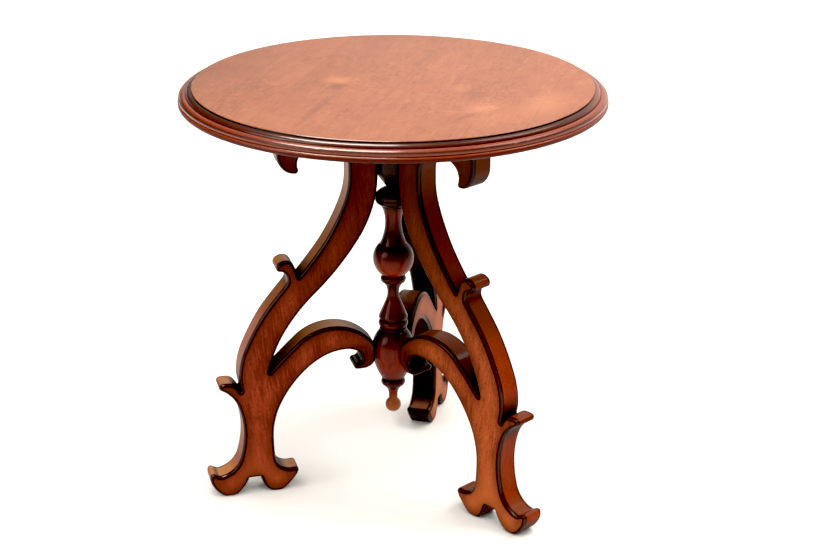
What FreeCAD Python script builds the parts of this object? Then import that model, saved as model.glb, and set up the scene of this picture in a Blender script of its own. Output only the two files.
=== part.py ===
"""Round lamp table: a moulded top of edge-glued boards on three scrolled legs around a turned column.

Millimetres. The origin is on the floor under the column, +Z is up and the back leg points along +Y.
"""

import FreeCAD, Part
import math
import os
from types import SimpleNamespace

import Sketcher

Vector = FreeCAD.Vector

# Driving dimensions: one plain number for each size that can be set by itself
DIMENSIONS = {
    # Top
    "table_height": 709.5,
    "top_radius": 350.0,
    "top_thickness": 28.5,
    "edge_width": 22.5,
    "panel_step": 3.0,
    "panel_arris": 0.8,
    "ovolo_width": 9.0,
    "ovolo_drop": 5.5,
    "ovolo_rise": 2.2,
    "shelf_drop": 1.2,
    "pillow_drop": 4.0,
    "pillow_rise": 2.4,
    "groove_setback": 3.2,
    "groove_height": 0.5,
    "band_setback": 1.7,
    "band_height": 3.1,
    "bead_gap": 0.7,
    # Boards of the top and the dowels across their seams
    "first_board_width": 117.0,
    "last_board_width": 91.0,
    "board_dowel_radius": 4.0,
    "board_dowel_length": 40.0,
    "board_dowel_inset": 70.0,
    # Turned column, from the floor up
    "drop_level": 168.0,
    "ring_half": 6.3,
    "ring_depth": 4.3,
    "ring_gap": 0.6,
    "base_ring_rise": 7.5,
    "base_ring_radius": 21.0,
    "bulb_foot_radius": 18.5,
    "bulb_rise": 57.6,
    "bulb_radius": 36.5,
    "bulb_flat": 1.0,
    "bulb_neck_radius": 23.0,
    "bulb_shoulder": 33.5,
    "thin_bead_half": 2.3,
    "thin_bead_depth": 1.4,
    "thin_bead_gap": 1.0,
    "waist_ring_radius": 25.5,
    "skirt_foot_radius": 22.8,
    "skirt_height": 6.6,
    "skirt_radius": 24.7,
    "skirt_rise": 0.8,
    "cone_height": 24.5,
    "cone_radius": 14.5,
    "waist_fall": 19.0,
    "waist_radius": 9.9,
    "cup_radius": 17.0,
    "cup_rise": 17.1,
    "middle_ring_radius": 21.8,
    "vase_foot_radius": 18.5,
    "vase_rise": 31.1,
    "vase_radius": 34.6,
    "vase_shoulder": 25.0,
    "vase_neck_radius": 23.5,
    "shoulder_step": 0.9,
    "neck_fall": 39.1,
    "neck_radius": 14.0,
    "neck_rise": 28.2,
    "collar_foot_radius": 24.0,
    "collar_fillet": 2.8,
    "collar_cove_radius": 20.5,
    "collar_radius": 30.8,
    "collar_round": 10.0,
    "collar_rise": 2.2,
    "collar_groove": 0.8,
    "collar_lip": 5.5,
    "collar_dome": 12.5,
    "dome_rise": 1.6,
    "throat_radius": 12.6,
    "throat_length": 2.5,
    "flare_height": 27.9,
    "boss_length": 120.0,
    "boss_radius": 33.0,
    "boss_flat": 2.0,
    "tenon_radius": 14.0,
    "tenon_length": 12.0,
    # Drop below the column
    "drop_cup_radius": 15.8,
    "drop_neck_fall": 18.0,
    "drop_neck_radius": 7.6,
    "ball_fall": 37.0,
    "ball_radius": 13.5,
    "drop_tenon_radius": 6.0,
    "drop_tenon_length": 22.0,
    # Leg board and the moulding along its edges
    "leg_thickness": 45.0,
    "leg_ovolo": 5.0,
    "leg_quirk": 1.0,
    "leg_quirk_floor": 0.3,
    "tip_margin": 0.6,
    "notch_radius": 1.0,
    "arch_corner": 1.5,
    # Leg outline: upper arm and stem
    "stem_width": 49.5,
    "stem_straight": 119.0,
    "stem_inner_belly": 4.4,
    "stem_upper_belly": 15.4,
    "stem_lower_belly": 19.5,
    "hook_width": 38.5,
    "arm_depth": 64.0,
    "arm_arch_radius": 41.0,
    "hook_drop": 109.0,
    "hook_round": 75.0,
    "hook_return": 1.0,
    # Leg outline: spur half way up, spur at the ankle, branch to the column
    "spur_reach": 167.0,
    "spur_height": 391.5,
    "spur_length": 36.5,
    "ankle_offset": 18.3,
    "ankle_height": 190.5,
    "ankle_length": 42.2,
    "branch_offset": 29.3,
    "branch_height": 222.5,
    "branch_under_belly": 33.8,
    "scroll_rise": 56.0,
    "scroll_seat_length": 14.0,
    # Leg outline: shank and split foot
    "shank_lean": 9.25,
    "shank_width": 51.5,
    "shank_height": 103.0,
    "shank_stagger": 15.0,
    "foot_reach": 251.0,
    "toe_reach": 78.0,
    "toe_height": 44.0,
    "arch_width": 20.0,
    "arch_height": 30.0,
    # Dowels and screws that hold the legs
    "fit": 0.1,
    "end_gap": 0.8,
    "dowel_chamfer": 1.0,
    "leg_dowel_radius": 5.0,
    "upper_dowel_length": 44.0,
    "upper_dowel_drop": 25.0,
    "lower_dowel_rise": 35.0,
    "scroll_dowel_length": 30.0,
    "screw_radius": 2.4,
    "screw_length": 48.0,
    "screw_head_radius": 4.6,
    "screw_head_height": 3.2,
    "screw_bite": 18.0,
    "screw_offset": 13.5,
    "counterbore_radius": 6.0,
}
SEAM_COUNT = 7
QUARTER_RISE = 1 - math.sqrt(0.5)
# Shares of the height beyond the turned lengths: the waist and the neck take these and the boss the rest
WAIST_SHARE = 0.15
NECK_SHARE = 0.25
LEG_AZIMUTHS = {side: 360 * (1 / 4 + k / 3) for k, side in enumerate(("back", "left", "right"))}

# Parts of the leg outline that keep their own proportions: (along, up) in units of the part's size
SPUR_ROOT = (0.712, -0.452)
SPUR_HOLLOW = (0.521, -0.068)
SPUR_TIP = (1.0, 0.342)
SPUR_CROWN = (0.575, 0.863)
SPUR_BACK = (0.151, 0.452)
ANKLE_TIP = (1.0, 0.308)
ANKLE_CROWN = (0.514, 0.486)
ANKLE_RISER = (0.076, 0.7)
SCROLL_SHOULDER = (0.384, 0.688)
SCROLL_BOTTOM = (0.402, -0.482)
SCROLL_LOBE = (0.58, -0.482)
SCROLL_HOLLOW = (0.438, -0.143)
SCROLL_ROOF = (0.938, 0.214)
HEEL = (-0.744, 0.909)
INNER_TOE_TIP = (-1.026, 0.943)
INNER_TOE_SIDE = (-0.795, 0.273)
INNER_TOE_FLAT = (-0.551, -0.462)
OUTER_TOE_SIDE = (0.282, 0.227)
OUTER_TOE_FLAT = (0.5, 0.59)
OUTER_TOE_ROUND = (0.846, 0.25)
OUTER_TOE_TIP = (0.974, 1.057)
INSTEP = (0.731, 0.886)


class Size:
    """A number together with the expression that gives it from the sheet."""

    def __init__(self, value, text):
        self.value = value
        self.text = text

    @staticmethod
    def of(other):
        """Takes a Size as it is and makes one of a plain number."""
        return other if isinstance(other, Size) else Size(float(other), repr(float(other)))

    def __add__(self, other):
        other = Size.of(other)
        return Size(self.value + other.value, f"({self.text} + {other.text})")

    def __sub__(self, other):
        other = Size.of(other)
        return Size(self.value - other.value, f"({self.text} - {other.text})")

    def __mul__(self, other):
        other = Size.of(other)
        return Size(self.value * other.value, f"({self.text} * {other.text})")

    def __truediv__(self, other):
        other = Size.of(other)
        return Size(self.value / other.value, f"({self.text} / {other.text})")

    def __radd__(self, other):
        return Size.of(other) + self

    def __rsub__(self, other):
        return Size.of(other) - self

    def __rmul__(self, other):
        return Size.of(other) * self

    def __neg__(self):
        return Size.of(0) - self

    def root(self):
        """The square root."""
        return Size(math.sqrt(self.value), f"sqrt({self.text})")


ZERO = Size.of(0)
document = FreeCAD.newDocument("lamp_table")


def make_sheet():
    """Writes the driving dimensions into the sheet and returns them as Sizes by name."""
    sheet = document.addObject("Spreadsheet::Sheet", "sizes")
    for row, (name, number) in enumerate(DIMENSIONS.items(), start=1):
        sheet.set(f"A{row}", name)
        sheet.set(f"B{row}", str(number))
        sheet.setAlias(f"B{row}", name)
    document.recompute()
    return SimpleNamespace(**{name: Size(sheet.get(name), f"sizes.{name}") for name in DIMENSIONS})


dim = make_sheet()
underside = dim.table_height - dim.top_thickness
boss_seat = dim.boss_radius - dim.boss_flat
scroll_seat = dim.bulb_radius - dim.bulb_flat
stem_outer = boss_seat + dim.stem_width
arm_arch_reach = stem_outer + dim.arm_arch_radius
panel_radius = dim.top_radius - dim.edge_width


def column_levels(spare):
    """Levels of the column's turned parts: its lengths added up, with the spare height shared out."""
    ring_end = dim.ring_half + dim.ring_gap
    waist_spare = spare * WAIST_SHARE / 2
    neck_spare = spare * NECK_SHARE / 2
    at = SimpleNamespace()
    at.base_ring = dim.drop_level + dim.base_ring_rise
    at.bulb_foot = at.base_ring + ring_end
    at.bulb = at.bulb_foot + dim.bulb_rise
    at.bulb_neck = at.bulb + dim.bulb_shoulder
    at.thin_bead = at.bulb_neck + dim.ring_gap
    at.waist_ring = at.thin_bead + 2 * dim.thin_bead_half + dim.thin_bead_gap + dim.ring_half
    at.skirt_foot = at.waist_ring + ring_end
    at.skirt = at.skirt_foot + dim.skirt_height
    at.cone = at.skirt + dim.cone_height
    at.waist = at.cone + dim.waist_fall + waist_spare
    at.cup = at.waist + dim.cup_rise + waist_spare
    at.middle_ring = at.cup + ring_end
    at.vase_foot = at.middle_ring + ring_end
    at.vase = at.vase_foot + dim.vase_rise
    at.vase_neck = at.vase + dim.vase_shoulder
    at.shoulder = at.vase_neck + dim.shoulder_step
    at.neck = at.shoulder + dim.neck_fall + neck_spare
    at.fillet = at.neck + dim.neck_rise + neck_spare
    at.collar = at.fillet + dim.collar_fillet
    at.collar_edge = at.collar + dim.collar_round
    at.lip = at.collar_edge + 2 * dim.collar_groove
    at.lip_top = at.lip + dim.collar_lip
    at.throat = at.lip_top + dim.collar_dome
    at.flare = at.throat + dim.throat_length
    at.boss = at.flare + dim.flare_height
    return at


spare_height = underside - dim.boss_length - column_levels(ZERO).boss
at_level = column_levels(spare_height)


# Sketched profiles
def swell(wide, wide_level, narrow, narrow_level):
    """Rise of the arc from a widest point, where it runs upright, to a narrower point (or to a waist)."""
    across = wide - narrow
    along = wide_level - narrow_level
    chord = (across * across + along * along).root()
    height = along if along.value > 0 else -along
    return chord * (chord - height) / (2 * across)


def profile_side(corner, following):
    """The line or arc from one corner of a profile to the next."""
    start = Vector(corner[0].value, corner[1].value, 0)
    end = Vector(following[0].value, following[1].value, 0)
    if len(corner) == 2:
        return Part.LineSegment(start, end)
    outwards = Vector(end.y - start.y, start.x - end.x, 0).normalize()
    return Part.Arc(start, (start + end) * 0.5 + outwards * corner[2].value, end)


def bind_constraint(sketch, kind, places, size):
    """Adds a constraint whose value comes from the sheet."""
    index = sketch.addConstraint(Sketcher.Constraint(kind, *places, size.value))
    sketch.setExpression(f"Constraints[{index}]", size.text)


def locate(sketch, side, end, corner):
    """Ties one end of a profile's side to its place from the axis and the origin's level."""
    for kind, axis, size in (("DistanceX", -2, corner[0]), ("DistanceY", -1, corner[1])):
        if size is ZERO:
            sketch.addConstraint(Sketcher.Constraint("PointOnObject", side, end, axis))
        else:
            bind_constraint(sketch, kind, (-1, 1, side, end), size)


def draw_profile(sketch, corners):
    """Draws a closed profile: corners of (radius, level), with a rise where the next side bulges outwards."""
    following = corners[1:] + corners[:1]
    starts = []
    for side, (corner, other) in enumerate(zip(corners, following)):
        sketch.addGeometry(profile_side(corner, other), False)
        first = sketch.getPoint(side, 1)
        here = Vector(corner[0].value, corner[1].value, 0)
        there = Vector(other[0].value, other[1].value, 0)
        starts.append(1 if first.distanceToPoint(here) < first.distanceToPoint(there) else 2)
    for side, (corner, other) in enumerate(zip(corners, following)):
        after = (side + 1) % len(corners)
        sketch.addConstraint(Sketcher.Constraint("Coincident", side, 3 - starts[side], after, starts[after]))
        locate(sketch, side, starts[side], corner)
        if len(corner) == 3:
            rise = corner[2] if corner[2].value > 0 else -corner[2]
            across = other[0] - corner[0]
            along = other[1] - corner[1]
            bind_constraint(
                sketch, "Radius", (side,), (across * across + along * along) / (8 * rise) + rise / 2
            )


def turned_body(name, corners):
    """A body turned about the Z axis from its half profile."""
    body = document.addObject("PartDesign::Body", name)
    sketch = body.newObject("Sketcher::SketchObject", f"{name}_profile")
    plane = next(feature for feature in body.Origin.OriginFeatures if feature.Role == "XZ_Plane")
    sketch.AttachmentSupport = [(plane, "")]
    sketch.MapMode = "FlatFace"
    draw_profile(sketch, corners)
    turning = body.newObject("PartDesign::Revolution", f"{name}_turning")
    turning.Profile = sketch
    turning.ReferenceAxis = (sketch, ["V_Axis"])
    turning.Angle = 360
    return body


# Placed primitives
def place(item, x=ZERO, y=ZERO, z=ZERO, axis=Vector(0, 0, 1), angle=0.0):
    """Puts an object at a place bound to the sheet, turned about an axis."""
    item.Placement = FreeCAD.Placement(Vector(x.value, y.value, z.value), FreeCAD.Rotation(axis, angle))
    for letter, size in (("x", x), ("y", y), ("z", z)):
        if size is not ZERO:
            item.setExpression(f"Placement.Base.{letter}", size.text)
    return item


def box(name, length, width, height, x, y, z):
    """A box with its lowest corner at (x, y, z)."""
    item = document.addObject("Part::Box", name)
    for side, size in (("Length", length), ("Width", width), ("Height", height)):
        item.setExpression(side, size.text)
    return place(item, x, y, z)


def cylinder(name, radius, height, x=ZERO, y=ZERO, z=ZERO, axis=Vector(0, 0, 1), angle=0.0):
    """A cylinder that starts at (x, y, z) and runs along Z, or along the turned Z."""
    item = document.addObject("Part::Cylinder", name)
    item.setExpression("Radius", radius.text)
    item.setExpression("Height", height.text)
    return place(item, x, y, z, axis, angle)


def group(name, members):
    """Several solids kept together."""
    item = document.addObject("Part::Compound", name)
    item.Links = members
    return item


def around(name, members):
    """The same solids at each of the three legs."""
    sets = []
    for side, azimuth in LEG_AZIMUTHS.items():
        copy = group(f"{name}_{side}", members)
        sets.append(place(copy, axis=Vector(0, 0, 1), angle=azimuth))
    return group(name, sets)


def cut(name, base, tool):
    """What is left of one object when another is taken away."""
    item = document.addObject("Part::Cut", name)
    item.Base = base
    item.Tool = tool
    return item


def turned_copy(name, sketch, **spot):
    """A copy of a small turned piece, drawn once and set at a place of its own."""
    item = document.addObject("Part::Revolution", name)
    item.Source = sketch
    item.Axis = Vector(0, 0, 1)
    item.Angle = 360
    item.Solid = True
    return place(item, **spot)


def loose_profile(name, corners):
    """A profile in the XZ plane that copies are turned from."""
    sketch = document.addObject("Sketcher::SketchObject", name)
    sketch.Placement = FreeCAD.Placement(Vector(), FreeCAD.Rotation(Vector(1, 0, 0), 90))
    draw_profile(sketch, corners)
    return sketch


def dowel_profile(name, radius, length):
    """Half profile of a dowel with chamfered ends, from Z = 0 up."""
    chamfer = dim.dowel_chamfer
    return loose_profile(
        name,
        [
            (ZERO, ZERO),
            (radius - chamfer, ZERO),
            (radius, chamfer),
            (radius, length - chamfer),
            (radius - chamfer, length),
            (ZERO, length),
        ],
    )


ALONG_X = {"axis": Vector(0, 1, 0), "angle": 90.0}


# Top: one moulded disc, drilled, then sawn at the seams into its boards
def top_profile():
    """Half section of the top, from its underside out over the moulded edge to the panel."""
    level = dim.table_height - dim.panel_step
    ovolo_foot = level - dim.ovolo_drop
    shelf = ovolo_foot - dim.shelf_drop
    groove = shelf - dim.pillow_drop
    band_top = groove - dim.groove_height
    band_foot = band_top - dim.band_height
    bead_top = band_foot - dim.bead_gap
    bead = (bead_top - underside) / 2
    bead_foot_radius = dim.top_radius - bead
    band_radius = dim.top_radius - dim.band_setback
    ovolo_radius = panel_radius + dim.ovolo_width
    return [
        (ZERO, underside),
        (bead_foot_radius, underside, bead * QUARTER_RISE),
        (dim.top_radius, underside + bead, bead * QUARTER_RISE),
        (bead_foot_radius, bead_top),
        (band_radius, band_foot),
        (band_radius, band_top),
        (dim.top_radius - dim.groove_setback, groove, dim.pillow_rise),
        (ovolo_radius, shelf),
        (ovolo_radius, ovolo_foot, dim.ovolo_rise),
        (panel_radius, level),
        (panel_radius, dim.table_height - dim.panel_arris),
        (panel_radius - dim.panel_arris, dim.table_height),
        (ZERO, dim.table_height),
    ]


def seam_places():
    """Where the boards meet, across the top."""
    first = dim.first_board_width - dim.top_radius
    last = dim.top_radius - dim.last_board_width
    return [first + (last - first) * (k / (SEAM_COUNT - 1)) for k in range(SEAM_COUNT)]


def board_dowels(seams):
    """The dowels across the seams, and the holes they sit in."""
    length = dim.board_dowel_length
    level = dim.table_height - dim.top_thickness / 2
    sketch = dowel_profile("board_dowel_profile", dim.board_dowel_radius, length)
    dowels = []
    holes = []
    for seam_number, seam in enumerate(seams, start=1):
        outer = (dim.top_radius * dim.top_radius - seam * seam).root() - dim.board_dowel_inset
        for row, share in enumerate((-1, -1 / 3, 1 / 3, 1), start=1):
            name = f"{seam_number}_{row}"
            spot = {"y": outer * share, "z": level, **ALONG_X}
            dowels.append(turned_copy(f"board_dowel_{name}", sketch, x=seam - length / 2, **spot))
            holes.append(
                cylinder(
                    f"board_dowel_hole_{name}",
                    dim.board_dowel_radius + dim.fit,
                    length + 2 * dim.end_gap,
                    x=seam - length / 2 - dim.end_gap,
                    **spot,
                )
            )
    return group("board_dowels", dowels), holes


def top_boards(leg_screw_holes):
    """The boards of the top and the dowels between them."""
    disc = turned_body("top_disc", top_profile())
    seams = seam_places()
    dowels, dowel_holes = board_dowels(seams)
    mortise = cylinder(
        "column_mortise", dim.tenon_radius + dim.fit, dim.tenon_length + dim.end_gap, z=underside
    )
    drilled = cut("drilled_top", disc, group("top_holes", [mortise, leg_screw_holes] + dowel_holes))
    margin = dim.top_thickness
    edges = [-dim.top_radius - margin] + seams + [dim.top_radius + margin]
    boards = []
    for number, (near, far) in enumerate(zip(edges, edges[1:]), start=1):
        board = document.addObject("Part::Common", f"top_board_{number}")
        board.Base = drilled
        board.Tool = box(
            f"board_stock_{number}",
            far - near,
            2 * dim.top_radius + 2 * margin,
            dim.top_thickness + 2 * margin,
            near,
            -dim.top_radius - margin,
            underside - margin,
        )
        boards.append(board)
    return boards + [dowels]


# Column and drop
def ring(level, radius):
    """A half-round ring on a turning: its two corners and the bulge between them."""
    waist = radius - dim.ring_depth
    return [(waist, level - dim.ring_half, dim.ring_depth), (waist, level + dim.ring_half)]


def column_profile():
    """Half section of the column, from its lower end up to the tenon in the top."""
    bead_waist = dim.bulb_neck_radius - dim.ring_gap
    shoulder_radius = dim.vase_neck_radius - dim.shoulder_step
    fillet_radius = dim.collar_cove_radius + dim.shoulder_step
    bulb = (dim.bulb_radius, at_level.bulb)
    bulb_foot = (dim.bulb_foot_radius, at_level.bulb_foot)
    vase = (dim.vase_radius, at_level.vase)
    vase_foot = (dim.vase_foot_radius, at_level.vase_foot)
    waist = (dim.waist_radius, at_level.waist)
    neck = (dim.neck_radius, at_level.neck)
    return (
        [(ZERO, dim.drop_level), (dim.drop_cup_radius, dim.drop_level)]
        + ring(at_level.base_ring, dim.base_ring_radius)
        + [
            (*bulb_foot, swell(*bulb, *bulb_foot)),
            (*bulb, swell(*bulb, dim.bulb_neck_radius, at_level.bulb_neck)),
            (dim.bulb_neck_radius, at_level.bulb_neck),
            (bead_waist, at_level.thin_bead, dim.thin_bead_depth),
            (bead_waist, at_level.thin_bead + 2 * dim.thin_bead_half),
        ]
        + ring(at_level.waist_ring, dim.waist_ring_radius)
        + [
            (dim.skirt_foot_radius, at_level.skirt_foot, dim.skirt_rise),
            (dim.skirt_radius, at_level.skirt),
            (dim.cone_radius, at_level.cone, swell(*waist, dim.cone_radius, at_level.cone)),
            (*waist, swell(*waist, dim.cup_radius, at_level.cup)),
            (dim.cup_radius, at_level.cup),
        ]
        + ring(at_level.middle_ring, dim.middle_ring_radius)
        + [
            (*vase_foot, swell(*vase, *vase_foot)),
            (*vase, swell(*vase, dim.vase_neck_radius, at_level.vase_neck)),
            (dim.vase_neck_radius, at_level.vase_neck),
            (shoulder_radius, at_level.shoulder, swell(*neck, shoulder_radius, at_level.shoulder)),
            (*neck, swell(*neck, dim.collar_cove_radius, at_level.fillet)),
            (dim.collar_cove_radius, at_level.fillet),
            (fillet_radius, at_level.fillet),
            (fillet_radius, at_level.collar),
            (dim.collar_foot_radius, at_level.collar, dim.collar_rise),
            (dim.collar_radius, at_level.collar_edge),
            (dim.collar_radius - dim.collar_groove, at_level.collar_edge + dim.collar_groove),
            (dim.collar_radius, at_level.lip),
            (dim.collar_radius, at_level.lip_top, dim.dome_rise),
            (dim.throat_radius, at_level.throat),
            (dim.throat_radius, at_level.flare),
            (dim.boss_radius, at_level.boss),
            (dim.boss_radius, underside),
            (dim.tenon_radius, underside),
            (dim.tenon_radius, underside + dim.tenon_length),
            (ZERO, underside + dim.tenon_length),
        ]
    )


def column_seats():
    """The flats that the legs' straight edges and scroll ends bear on, in the first leg's own direction."""
    width = dim.leg_thickness
    depth = dim.bulb_radius
    boss_flat = box(
        "boss_flat",
        depth,
        width,
        underside - at_level.boss + depth,
        boss_seat,
        -width / 2,
        at_level.boss - depth / 2,
    )
    bulb_flat = box(
        "bulb_flat", depth, width, depth, scroll_seat, -width / 2, at_level.bulb - depth / 2
    )
    return [boss_flat, bulb_flat]


def column(leg_dowel_holes):
    """The turned column, flatted and bored for the legs and the drop."""
    blank = turned_body("column_turning", column_profile())
    drop_hole = cylinder(
        "drop_hole", dim.drop_tenon_radius + dim.fit, dim.drop_tenon_length + dim.end_gap, z=dim.drop_level
    )
    seats = around("column_seats", column_seats() + leg_dowel_holes)
    return cut("column", blank, group("column_cuts", [drop_hole, seats]))


def drop_finial():
    """The turned ball drop, with the tenon that holds it in the column."""
    neck = (dim.drop_neck_radius, dim.drop_level - dim.drop_neck_fall)
    ball_level = dim.drop_level - dim.ball_fall
    ball = (dim.ball_radius, ball_level)
    across = dim.ball_radius * dim.ball_radius - dim.drop_neck_radius * dim.drop_neck_radius
    ball_top = ball_level + across.root()
    return turned_body(
        "drop_finial",
        [
            (ZERO, ball_level - dim.ball_radius, dim.ball_radius * QUARTER_RISE),
            (*ball, swell(*ball, dim.drop_neck_radius, ball_top)),
            (dim.drop_neck_radius, ball_top),
            (*neck, swell(*neck, dim.drop_cup_radius, dim.drop_level)),
            (dim.drop_cup_radius, dim.drop_level),
            (dim.drop_tenon_radius, dim.drop_level),
            (dim.drop_tenon_radius, dim.drop_level + dim.drop_tenon_length),
            (ZERO, dim.drop_level + dim.drop_tenon_length),
        ],
    )


# Leg outline: nodes of (reach, height, heading), with a pair of tangent arcs between neighbours
def heading_vector(degrees):
    """Unit vector in the leg's plane, from the outward direction towards up."""
    return Vector(math.cos(math.radians(degrees)), 0, math.sin(math.radians(degrees)))


def corner_nodes(reach, height, arriving, leaving, radius):
    """The two nodes of a rounded corner."""
    turn = (leaving - arriving + 180) % 360 - 180
    back = radius * math.tan(math.radians(abs(turn) / 2))
    first = Vector(reach, 0, height) - heading_vector(arriving) * back
    last = Vector(reach, 0, height) + heading_vector(leaving) * back
    return [(first.x, first.z, arriving), (last.x, last.z, leaving)]


def belly_node(start, end, share, belly, heading):
    """A node part of the way from one point to another, pushed to the right of the line between them."""
    line = Vector(end[0] - start[0], 0, end[1] - start[1])
    right = Vector(line.z, 0, -line.x).normalize()
    spot = Vector(start[0], 0, start[1]) + line * share + right * belly
    return (spot.x, spot.z, heading)


def scaled(origin, size, along_up):
    """A point given in units of its part's size from the part's origin."""
    return origin[0] + size * along_up[0], origin[1] + size * along_up[1]


def arc_edge(start, apex, end):
    """The arc from start to end whose end tangents meet at the apex."""
    middle = (start + end) * 0.5
    height = apex - middle
    half = (end - start).Length / 2
    rise = half * math.tan(math.atan2(height.Length, half) / 2)
    return Part.Arc(start, middle + height.normalize() * rise, end).toShape()


def node_edges(node, following):
    """The straight edge, or the two tangent arcs, from one node to the next."""
    start = Vector(node[0], 0, node[1])
    end = Vector(following[0], 0, following[1])
    out = heading_vector(node[2])
    home = heading_vector(following[2])
    chord = end - start
    if out.getAngle(home) < 1e-6 and out.getAngle(chord) < 1e-6:
        return [Part.LineSegment(start, end).toShape()]
    reach = chord.dot(out + home)
    bend = 2 * (1 - out.dot(home))
    if bend < 1e-9:
        length = chord.dot(chord) / (2 * reach)
    else:
        length = (math.sqrt(reach * reach + bend * chord.dot(chord)) - reach) / bend
    first_apex = start + out * length
    last_apex = end - home * length
    joint = (first_apex + last_apex) * 0.5
    return [arc_edge(start, first_apex, joint), arc_edge(joint, last_apex, end)]


def stem_inner_nodes(top, notch):
    """Inner edge of the stem, from the top down to the notch above the branch."""
    bend = (boss_seat.value, top - dim.stem_straight.value)
    return [
        (bend[0], top, -90),
        (*bend, -90),
        belly_node(bend, notch, 0.59, dim.stem_inner_belly.value, -43),
        *corner_nodes(*notch, -77, 134, dim.notch_radius.value),
    ]


def branch_nodes(notch, shank, tip_radius):
    """The branch: over its crest, round the scroll that bears on the column, and back along its underside."""
    size = dim.scroll_rise.value
    seat = (scroll_seat.value, at_level.bulb.value)
    half_seat = dim.scroll_seat_length.value / 2
    crest = (seat[0] + 0.4 * (notch[0] - seat[0]), seat[1] + size)
    lobe = scaled(seat, size, SCROLL_LOBE)
    lobe_radius = tip_radius + dim.tip_margin.value / 3
    roof = scaled(seat, size, SCROLL_ROOF)
    return [
        (*crest, 180),
        (*scaled(seat, size, SCROLL_SHOULDER), 217),
        (seat[0], seat[1] + half_seat, 270),
        (seat[0], seat[1] - half_seat, 270),
        (*scaled(seat, size, SCROLL_BOTTOM), 0),
        (*lobe, 0),
        (lobe[0], lobe[1] + 2 * lobe_radius, 180),
        (*scaled(seat, size, SCROLL_HOLLOW), 90),
        (*roof, 0),
        belly_node(roof, shank, 0.36, -dim.branch_under_belly.value, -43),
        (*shank, -90),
    ]


def foot_nodes(shank_outer, tip_radius):
    """The split foot: inner toe, arch, outer toe and up to the outer side of the shank."""
    reach = dim.foot_reach.value

    def spot(across_up):
        return reach + dim.toe_reach.value * across_up[0], dim.toe_height.value * across_up[1]

    half_arch = dim.arch_width.value / 2
    arch = dim.arch_height.value
    corner = dim.arch_corner.value
    inner_flat = [(reach + dim.toe_reach.value * share, 0, 0) for share in INNER_TOE_FLAT]
    outer_flat = [(reach + dim.toe_reach.value * share, 0, 0) for share in OUTER_TOE_FLAT]
    return [
        (*spot(HEEL), -168),
        *corner_nodes(*spot(INNER_TOE_TIP), 170, 290, tip_radius),
        (*spot(INNER_TOE_SIDE), 312),
        *inner_flat,
        *corner_nodes(reach - half_arch, arch, 76, 0, corner),
        *corner_nodes(reach + half_arch, arch, 0, -73, corner),
        (*spot(OUTER_TOE_SIDE), -48),
        *outer_flat,
        (*spot(OUTER_TOE_ROUND), 50),
        *corner_nodes(*spot(OUTER_TOE_TIP), 97, 205, tip_radius),
        (*spot(INSTEP), 170),
        (*shank_outer, 90),
    ]


def stem_outer_nodes(top, tip_radius):
    """Outer edge: ankle spur, lower stem, middle spur, upper stem, and the arm with its hooked end."""
    ankle = (dim.foot_reach.value + dim.ankle_offset.value, dim.ankle_height.value)
    ankle_size = dim.ankle_length.value
    spur = (dim.spur_reach.value, dim.spur_height.value + spare_height.value / 2)
    spur_size = dim.spur_length.value
    root = scaled(spur, spur_size, SPUR_ROOT)
    bend = (stem_outer.value, top - dim.stem_straight.value)
    crest = (arm_arch_reach.value, top - dim.arm_depth.value)
    cusp = (crest[0] + dim.arm_arch_radius.value - dim.hook_return.value, top - dim.hook_drop.value)
    arm_end = cusp[0] + dim.hook_width.value
    notch = dim.notch_radius.value
    return [
        *corner_nodes(*scaled(ankle, ankle_size, ANKLE_TIP), 28, 140, tip_radius),
        (*scaled(ankle, ankle_size, ANKLE_CROWN), 180),
        *corner_nodes(*ankle, 245, 87, notch),
        (*scaled(ankle, ankle_size, ANKLE_RISER), 91),
        belly_node(ankle, root, 0.62, dim.stem_lower_belly.value, 120),
        (*root, 131),
        (*scaled(spur, spur_size, SPUR_HOLLOW), 86),
        *corner_nodes(*scaled(spur, spur_size, SPUR_TIP), 0, 78, tip_radius),
        (*scaled(spur, spur_size, SPUR_CROWN), 180),
        (*scaled(spur, spur_size, SPUR_BACK), 253),
        *corner_nodes(*spur, 246, 131, notch),
        belly_node(spur, bend, 0.5, -dim.stem_upper_belly.value, 119),
        (*bend, 90),
        (bend[0], crest[1] - dim.arm_arch_radius.value, 90),
        (*crest, 0),
        *corner_nodes(*cusp, -110, 0, tip_radius),
        (arm_end, top - dim.hook_round.value, 90),
        (arm_end, top, 90),
    ]


def leg_outline():
    """The leg's outline as one closed wire in its own plane, X outwards and Z up."""
    top = underside.value
    tip_radius = dim.leg_ovolo.value + dim.tip_margin.value
    shank = dim.foot_reach.value - dim.shank_lean.value
    half_shank = dim.shank_width.value / 2
    shank_inner = (shank - half_shank, dim.shank_height.value)
    shank_outer = (shank + half_shank, dim.shank_height.value + dim.shank_stagger.value)
    notch = (dim.foot_reach.value - dim.branch_offset.value, dim.branch_height.value)
    nodes = stem_inner_nodes(top, notch) + branch_nodes(notch, shank_inner, tip_radius)
    nodes += foot_nodes(shank_outer, tip_radius) + stem_outer_nodes(top, tip_radius)
    edges = [edge for node, after in zip(nodes, nodes[1:]) for edge in node_edges(node, after)]
    edges.append(Part.LineSegment(edges[-1].lastVertex().Point, edges[0].firstVertex().Point).toShape())
    return Part.Wire(edges)


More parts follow.
